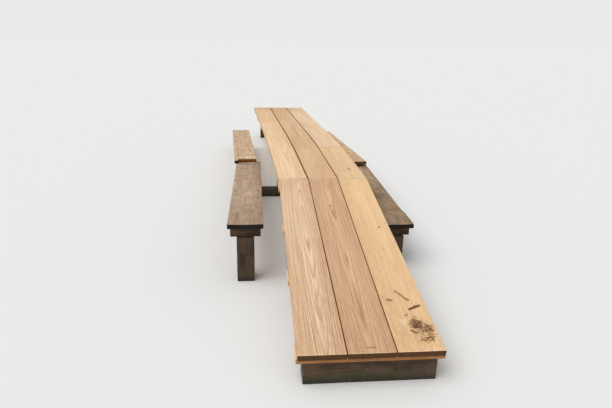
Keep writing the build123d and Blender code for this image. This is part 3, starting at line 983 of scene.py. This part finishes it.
def fixings(name, places, ways, radius, rise, recess, finish):
    """Heads at the given places, each pointing out its own way, as one mesh."""
    spots = bpy.data.meshes.new(f"{name}_spots")
    spots.from_pydata([tuple(place) for place in places], [], [])
    outward = np.array(ways, float).ravel()
    spots.attributes.new("axis", "FLOAT_VECTOR", "POINT").data.foreach_set("vector", outward)
    head = placed(f"{name}_head", head_mesh(f"{name}_head", radius, rise, recess))
    piece = grown(name, spots, head_tree, {"Head": head, "Finish": finish})
    bpy.data.objects.remove(head)
    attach(piece, "root")


def metal(name, bright, dull, roughness, shine):
    """Bare steel, spotted with a second tone."""
    material, tree, shader = new_finish(name, {"Metallic": shine})
    place = add(tree, "TexCoord").outputs["Object"]
    spots = cloudy(tree, place, (900, 900, 900), (0, 0, 0), 3.0, 0.6)
    tree.links.new(blended(tree, between(tree, spots, 0.42, 0.6), bright, dull), shader.inputs["Base Color"])
    tree.links.new(between(tree, spots, 0.3, 0.7, roughness, roughness + 0.2), shader.inputs["Roughness"])
    return material


screw_places, screw_ways = [], []
for size, lay, up, lines in cleat_lays:
    for line in lines:
        for row, stagger in zip(screw_rows, (-screw_stagger, screw_stagger)):
            screw_places.append(lay(np.array([[stagger, line + row, -size[2]]]))[0])
            screw_ways.append(-up)
fixings("deck_screws", screw_places, screw_ways, screw_head, screw_rise, screw_recess,
        metal("zinc plated steel", (0.62, 0.60, 0.55, 1), (0.42, 0.38, 0.32, 1), 0.35, 0.9))

nail_places, nail_ways = [], []
for size, lay, up, bearings in plank_lays:
    for along in bearings:
        for share, shift in nail_rows:
            nail_places.append(lay(np.array([[share * size[0], along + shift, -nail_sink]]))[0])
            nail_ways.append(up)
fixings("old_nails", nail_places, nail_ways, nail_head, nail_rise, 0,
        metal("rusty steel", seen(96, 58, 38), seen(58, 38, 30), 0.75, 0.25))


# Litter
# Small dead bits lie on the right ramp board near its low end: a clump of brown needles with crumbs
# of bark, five twigs, a split chip and a bud. Nothing holds them, they only rest on the sawn face.

litter_sink = 0.0006
twig_unevenness = 0.22
twig_taper = 0.55
bud_swell = 0.55
bud_reach = 0.03
bit_tilt = (0.15, 0.12)
smallest_bit = (0.5, 0.7, 0.7)
largest_bit = (1.25, 1.3, 1.3)
bed_across = (0.265, 0.415)
bed_along = (0.05, 0.31)
on_ramp = straight_lay("ramp_board_right", ramp_axes)[1]
ramp_up = np.array(ramp_axes[2])


def bark(name, pale, dark):
    """Dead bark: a blotchy brown, streaked and rough."""
    material, tree, shader = new_finish(name, {"Roughness": 0.9, "Specular IOR Level": 0.2})
    place = add(tree, "TexCoord").outputs["Object"]
    spots = cloudy(tree, place, (260, 260, 260), (1, 0, 0), 4.0, 0.65)
    tone = add(tree, "Attribute", {"attribute_name": "tone"}).outputs["Fac"]
    share = worked(tree, "MULTIPLY_ADD", tone, 0.8, between(tree, spots, 0.35, 0.65, -0.2, 0.4))
    colour = blended(tree, between(tree, share, 0.0, 1.0), pale, dark)
    surfaced(tree, shader, {"Base Color": colour}, spots, 0.5, 0.0006)
    return material


def twig(name, path, thickness, buds, finish):
    """A little stick through the given places across and along the deck, lying on its board.

    Thickness is its radius from end to end, and buds are the places along it, 0 to 1, that swell."""
    sides, steps = 9, 26
    path, thickness = np.array(path), np.array(thickness)
    share = np.linspace(0, 1, steps)
    line = np.stack([np.polyval(np.polyfit(np.linspace(0, 1, len(path)), path[:, axis], len(path) - 1), share)
                     for axis in (0, 1)], 1)
    radius = np.interp(share, np.linspace(0, 1, len(thickness)), thickness)
    uneven = wander(np.stack([share * 9, line[:, 0] * 40, share * 0], 1), (1, 1, 1), len(name))
    radius *= 1 + twig_unevenness * uneven
    for bud in buds:
        radius *= 1 + bud_swell * np.exp(-((share - bud) / bud_reach) ** 2)
    radius[[0, -1]] *= twig_taper
    height = 0.9 * radius - litter_sink
    middle = on_ramp(np.column_stack([line[:, 0] - board_pitch, line[:, 1], height]))
    ahead = np.gradient(middle, axis=0)
    ahead /= np.linalg.norm(ahead, axis=1, keepdims=True)
    beside = np.cross(ahead, ramp_up)
    points = []
    for number in range(steps):
        for side in range(sides):
            turn = 2 * pi * side / sides
            around = cos(turn) * beside[number] + sin(turn) * ramp_up
            points.append(middle[number] + radius[number] * around)
    faces = []
    for number in range(steps - 1):
        for side in range(sides):
            first, second = number * sides + side, number * sides + (side + 1) % sides
            faces.append((first, first + sides, second + sides, second))
    faces += [tuple(range(sides)), tuple(reversed(range((steps - 1) * sides, steps * sides)))]
    mesh = bpy.data.meshes.new(name)
    mesh.from_pydata(points, [], faces)
    mesh.polygons.foreach_set("use_smooth", [True] * (len(faces) - 2) + [False] * 2)
    mesh.materials.append(finish)
    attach(placed(name, mesh), "root")


grey_bark = bark("grey twig bark", seen(162, 124, 82), seen(82, 60, 38))
dark_bark = bark("dark twig bark", seen(132, 94, 68), seen(74, 50, 36))
gold_skin = bark("split chip", seen(232, 186, 112), seen(196, 146, 84))
bud_skin = bark("dry bud", seen(168, 134, 118), seen(118, 90, 82))
twig("twig_long", [(0.262, 0.582), (0.288, 0.551), (0.312, 0.508), (0.337, 0.477)],
     (0.0038, 0.0036, 0.0042), (0.1, 0.36, 0.95), grey_bark)
twig("twig_thick", [(0.309, 0.381), (0.352, 0.403), (0.396, 0.422)],
     (0.0058, 0.0064, 0.0054), (0.55,), dark_bark)
twig("twig_short", [(0.268, 0.325), (0.284, 0.329), (0.298, 0.343)],
     (0.0032, 0.0024, 0.0012), (0.2,), grey_bark)
twig("twig_low", [(0.268, 0.191), (0.285, 0.170), (0.309, 0.159)],
     (0.0034, 0.004, 0.0022), (0.3,), dark_bark)
twig("twig_stub", [(0.376, 0.113), (0.384, 0.104), (0.387, 0.088)],
     (0.0022, 0.0034, 0.0014), (0.3,), dark_bark)
twig("gold_chip", [(0.336, 0.086), (0.357, 0.091), (0.374, 0.104)],
     (0.0022, 0.0044, 0.0018), (), gold_skin)
twig("dry_bud", [(0.189, 0.496), (0.205, 0.492), (0.222, 0.478)],
     (0.0016, 0.0048, 0.0012), (), bud_skin)

# A bit is a short bent rod. Bits are strewn over the base mesh as thickly as its cover says, turned,
# sized and lifted at random, and each has its own tone.
bits_tree, given, result = new_group("scattered bits", {
    "Density": "Float", "Length": "Float", "Radius": "Float", "Bend": "Float", "Lift": "Float", "Seed": "Int",
    "Finish": "Material"})
cover = add(bits_tree, "GeometryNodeInputNamedAttribute", {"data_type": "FLOAT"}, {"Name": "cover"})
density = times(bits_tree, cover.outputs["Attribute"], given.outputs["Density"])
fallen = add(bits_tree, "GeometryNodeDistributePointsOnFaces", {"distribute_method": "RANDOM"}, {
    "Mesh": given.outputs["Geometry"], "Density": density, "Seed": given.outputs["Seed"]})
halves = [times(bits_tree, given.outputs["Length"], share) for share in (-0.5, 0.5)]
ends = [add(bits_tree, "CombineXYZ", None, {"X": half, "Z": given.outputs["Radius"]}) for half in halves]
middle_point = add(bits_tree, "CombineXYZ", None, {
    "Y": given.outputs["Bend"], "Z": given.outputs["Radius"]})
bow = add(bits_tree, "GeometryNodeCurveQuadraticBezier", None, {
    "Resolution": 3, "Start": ends[0].outputs[0], "Middle": middle_point.outputs[0],
    "End": ends[1].outputs[0]})
ring = add(bits_tree, "GeometryNodeCurvePrimitiveCircle", None, {
    "Resolution": 4, "Radius": given.outputs["Radius"]})
bit = add(bits_tree, "GeometryNodeCurveToMesh", None, {
    "Curve": bow.outputs["Curve"], "Profile Curve": ring.outputs["Curve"], "Fill Caps": True})
tilt = add(bits_tree, "FunctionNodeRandomValue", {"data_type": "FLOAT_VECTOR"}, {
    0: (-bit_tilt[0], -bit_tilt[1], 0.0), 1: (*bit_tilt, 2 * pi), "Seed": 11})
turned = add(bits_tree, "FunctionNodeRotateRotation", {"rotation_space": "LOCAL"}, {
    "Rotation": fallen.outputs["Rotation"], "Rotate By": tilt.outputs[0]})
grade = add(bits_tree, "FunctionNodeRandomValue", {"data_type": "FLOAT_VECTOR"}, {
    0: smallest_bit, 1: largest_bit, "Seed": 12})
bits = add(bits_tree, "GeometryNodeInstanceOnPoints", None, {
    "Points": fallen.outputs["Points"], "Instance": bit.outputs["Mesh"], "Rotation": turned.outputs[0],
    "Scale": grade.outputs[0]})
lift = add(bits_tree, "FunctionNodeRandomValue", {"data_type": "FLOAT"}, {
    2: 0.0, 3: given.outputs["Lift"], "Seed": 13})
upward = add(bits_tree, "CombineXYZ", None, {"Z": lift.outputs[1]})
bits = add(bits_tree, "GeometryNodeTranslateInstances", None, {
    "Instances": bits.outputs["Instances"], "Translation": upward.outputs[0]})
tone = add(bits_tree, "FunctionNodeRandomValue", {"data_type": "FLOAT"}, {2: 0.0, 3: 1.0, "Seed": 14})
bits = add(bits_tree, "GeometryNodeStoreNamedAttribute", {"data_type": "FLOAT", "domain": "INSTANCE"}, {
    "Geometry": bits.outputs["Instances"], "Name": "tone", "Value": tone.outputs[1]})
bits = add(bits_tree, "GeometryNodeRealizeInstances", None, {"Geometry": bits.outputs["Geometry"]})
bits = add(bits_tree, "GeometryNodeSetMaterial", None, {
    "Geometry": bits.outputs["Geometry"], "Material": given.outputs["Finish"]})
bits_tree.links.new(bits.outputs["Geometry"], result.inputs["Geometry"])


def litter_bed(name):
    """The patch of the board under the clump, with how thickly it is covered at each point.

    The clumps are given as across, along, reach both ways and how thick they lie in the middle."""
    clumps = [(0.312, 0.240, 0.026, 0.034, 1.0), (0.342, 0.240, 0.020, 0.026, 0.8),
              (0.360, 0.205, 0.018, 0.024, 0.6), (0.386, 0.180, 0.020, 0.036, 0.8),
              (0.335, 0.170, 0.034, 0.020, 0.35), (0.384, 0.146, 0.016, 0.022, 0.6),
              (0.352, 0.112, 0.024, 0.022, 0.35), (0.330, 0.090, 0.026, 0.022, 0.25),
              (0.352, 0.060, 0.024, 0.016, 0.3)]
    across, along = np.meshgrid(np.linspace(*bed_across, 26), np.linspace(*bed_along, 44), indexing="ij")
    depth = np.full(across.size, -litter_sink)
    spots = np.column_stack([across.ravel() - board_pitch, along.ravel(), depth])
    cover = sum(share * np.exp(-((across - side) / wide) ** 2 - ((along - ahead) / long) ** 2)
                for side, ahead, wide, long, share in clumps)
    number = np.arange(across.size).reshape(across.shape)
    quads = np.stack([number[:-1, :-1], number[1:, :-1], number[1:, 1:], number[:-1, 1:]], -1).reshape(-1, 4)
    mesh = bpy.data.meshes.new(name)
    mesh.from_pydata(on_ramp(spots).tolist(), [], quads.tolist())
    mesh.attributes.new("cover", "FLOAT", "POINT").data.foreach_set("value", cover.ravel())
    return mesh


needle_skin = bark("dead needles", seen(192, 142, 104), seen(84, 50, 36))
crumb_skin = bark("bark crumbs", seen(176, 128, 92), seen(74, 46, 34))
needles = grown("needle_clump", litter_bed("needle_bed"), bits_tree, {
    "Density": 13000.0, "Length": 0.030, "Radius": 0.0012, "Bend": 0.006, "Lift": 0.004, "Seed": 3,
    "Finish": needle_skin})
crumbs = grown("bark_crumbs", litter_bed("crumb_bed"), bits_tree, {
    "Density": 12000.0, "Length": 0.008, "Radius": 0.0018, "Bend": 0.001, "Lift": 0.001, "Seed": 8,
    "Finish": crumb_skin})
for heap in (needles, crumbs):
    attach(heap, "root")


# Floor, light and camera
# A plain pale floor under soft even light. The camera stands where the photograph was taken, about a
# metre and three quarters above the near end of the deck and a little to the left of it.

floor_reach = 60.0
floor_tone = (0.8, 0.8, 0.79, 1)
sky_tone = (1.0, 1.0, 1.0, 1)
sky_strength = 0.58
backdrop_tone = (0.83, 0.83, 0.82, 1)
lamp_strength = 1.68
lamp_width = radians(50)
lamp_heading = Vector((0.45, 0.2, -0.85))
photo_width = 612
focal_pixels = 524.0
sensor_width = 36.0
camera_place = Vector((-0.657, -2.611, 1.990))
look_right = radians(5.718)
look_down = radians(18.899)
camera_roll = radians(1.285)

floor_mesh = bpy.data.meshes.new("floor")
corners = [(-floor_reach, -floor_reach), (floor_reach, -floor_reach), (floor_reach, floor_reach),
           (-floor_reach, floor_reach)]
floor_mesh.from_pydata([(x, y, 0) for x, y in corners], [], [(0, 1, 2, 3)])
floor_mesh.materials.append(new_finish("pale floor", {
    "Base Color": floor_tone, "Roughness": 0.9, "Specular IOR Level": 0.1})[0])
placed("floor", floor_mesh)

world = bpy.data.worlds.new("even light")
world.use_nodes = True
sky = world.node_tree
sky_light = sky.nodes["Background"]
sky_light.inputs["Color"].default_value = sky_tone
sky_light.inputs["Strength"].default_value = sky_strength
backdrop = add(sky, "Background", None, {"Color": backdrop_tone, "Strength": 1.0})
rays = add(sky, "LightPath").outputs
shows = worked(sky, "MAXIMUM", rays["Is Camera Ray"], rays["Is Glossy Ray"])
shows = worked(sky, "MAXIMUM", shows, rays["Is Transmission Ray"])
either = add(sky, "MixShader", None, {0: shows, 1: sky_light.outputs[0], 2: backdrop.outputs[0]})
sky.links.new(either.outputs[0], sky.nodes["World Output"].inputs[0])
bpy.context.scene.world = world

lamp = bpy.data.lights.new("soft lamp", "SUN")
lamp.energy = lamp_strength
lamp.angle = lamp_width
placed("soft lamp", lamp).rotation_euler = lamp_heading.to_track_quat("-Z", "Y").to_euler()

ahead = Vector((sin(look_right) * cos(look_down), cos(look_right) * cos(look_down), -sin(look_down)))
level_right = Vector((cos(look_right), -sin(look_right), 0))
level_up = level_right.cross(ahead)
right = level_right * cos(camera_roll) + level_up * sin(camera_roll)
above = level_up * cos(camera_roll) - level_right * sin(camera_roll)
camera_data = bpy.data.cameras.new("camera")
camera_data.sensor_width = sensor_width
camera_data.lens = focal_pixels / photo_width * sensor_width
camera = placed("camera", camera_data)
camera.matrix_world = Matrix.Translation(camera_place) @ Matrix((right, above, -ahead)).transposed().to_4x4()
bpy.context.scene.camera = camera

bpy.context.scene.view_settings.view_transform = "Standard"
